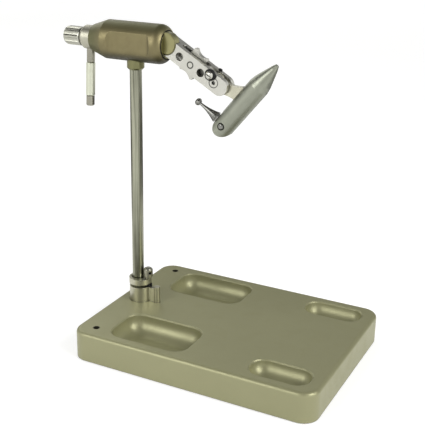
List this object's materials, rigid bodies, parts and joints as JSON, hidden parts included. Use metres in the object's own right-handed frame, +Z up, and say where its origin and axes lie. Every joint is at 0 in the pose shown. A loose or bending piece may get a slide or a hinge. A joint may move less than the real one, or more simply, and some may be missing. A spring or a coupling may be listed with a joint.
{
  "type": "fly tying vise",
  "caption": "Rotary fly tying vise: pedestal base with recessed trays, upright post, bearing head with hanging crank, slotted arm and lever-closed jaws.",
  "frame": {"origin": "centre of the base outline, on the surface that the vise stands on", "axes": "+X along the rotary axis towards the jaws, +Y away from the side with the clip post, +Z up along the post"},
  "size_m": [0.2509, 0.1524, 0.2542],
  "materials": {
    "base_champagne": "fine bead-blasted champagne anodising, satin",
    "rubber_black": "matte black",
    "clamp_steel": "turned, lightly polished",
    "polished_steel": "polished",
    "housing_bronze": "bronze anodised, satin",
    "olive_anodised": "olive anodised, satin",
    "bearing_bronze": "plain bearing bronze",
    "black_screw": "black oxide",
    "bright_nickel": "bright nickel plated",
    "jaw_steel": "satin ground",
    "neck_steel": "polished, warm reflections",
    "sleeve_pale": "polished pale"
  },
  "bodies": {
    "base": {"base_plate": "base_champagne", "foot_pad": "rubber_black", "stem_socket": "clamp_steel", "socket_bolt": "black_screw", "clamp_ring": "clamp_steel", "clamp_spring": "black_screw"},
    "clamp": {"clamp_screw": "clamp_steel"},
    "stem": {"post": "polished_steel"},
    "head": {"head_housing": "housing_bronze", "post_collar": "olive_anodised", "collar_screw": "black_screw", "front_bush": "bearing_bronze", "rear_bush": "bearing_bronze", "front_seal": "rubber_black", "bush_screw": "black_screw"},
    "rotor": {"rotary_shaft": "polished_steel", "front_hub": "olive_anodised", "crank_collar": "polished_steel", "crank_set_screw": "black_screw", "drag_washer": "bearing_bronze", "crank_rod": "polished_steel", "crank_tip": "polished_steel", "arm_bar": "bright_nickel", "arm_bolt": "black_screw", "wheel_pin": "bright_nickel", "clip_post": "bright_nickel", "clip_ring": "rubber_black", "pivot_screw": "bright_nickel", "pivot_nut": "bright_nickel", "pivot_lock_screw": "black_screw"},
    "knob": {"drag_knob": "polished_steel"},
    "sleeve": {"crank_sleeve": "sleeve_pale"},
    "wheel": {"thumb_wheel": "bright_nickel"},
    "jaw_block": {"jaw_neck": "neck_steel", "near_jaw": "jaw_steel", "fulcrum_screw": "black_screw", "jaw_spring": "black_screw", "lever_pin": "polished_steel"},
    "moving_jaw": {"far_jaw": "jaw_steel"},
    "lever": {"cam_lever": "polished_steel"}
  },
  "joints": [
    {"name": "post_height", "type": "slide", "parent": "base", "child": "stem", "axis": [0, 0, 1], "range_m": [0, 0.02]},
    {"name": "clamp_screw_turn", "type": "hinge", "parent": "base", "child": "clamp", "pos_m": [-0.07625, 0, 0.045], "axis": [0, 0, 1], "continuous": true},
    {"name": "head_swivel", "type": "hinge", "parent": "stem", "child": "head", "pos_m": [-0.08585, 0, 0.22], "axis": [0, 0, 1], "continuous": true},
    {"name": "rotary", "type": "hinge", "parent": "head", "child": "rotor", "pos_m": [-0.08585, 0, 0.2392], "axis": [1, 0, 0], "continuous": true},
    {"name": "drag_knob_turn", "type": "hinge", "parent": "rotor", "child": "knob", "pos_m": [-0.14185, 0, 0.2392], "axis": [1, 0, 0], "continuous": true},
    {"name": "sleeve_spin", "type": "hinge", "parent": "rotor", "child": "sleeve", "pos_m": [-0.12645, -0.0023, 0.20628], "axis": [0, 0.0698, 0.9976], "continuous": true},
    {"name": "wheel_turn", "type": "hinge", "parent": "rotor", "child": "wheel", "pos_m": [-0.03484, 0, 0.2273], "axis": [0, 1, 0], "continuous": true},
    {"name": "jaw_tilt", "type": "hinge", "parent": "rotor", "child": "jaw_block", "pos_m": [-0.01544, 0, 0.2161], "axis": [0, 1, 0], "range_deg": [-20, 25]},
    {"name": "lever_turn", "type": "hinge", "parent": "jaw_block", "child": "lever", "pos_m": [-0.00808, 0, 0.18463], "axis": [0, -1, 0], "range_deg": [0, 80]},
    {"name": "jaw_open", "type": "hinge", "parent": "jaw_block", "child": "moving_jaw", "pos_m": [0.01213, 0, 0.20867], "axis": [-0.7716, 0, 0.6361], "range_deg": [0, 1.8]}
  ],
  "couplings": [
    {"joint": "jaw_open", "follows": "lever_turn", "ratio": 0.0225}
  ]
}
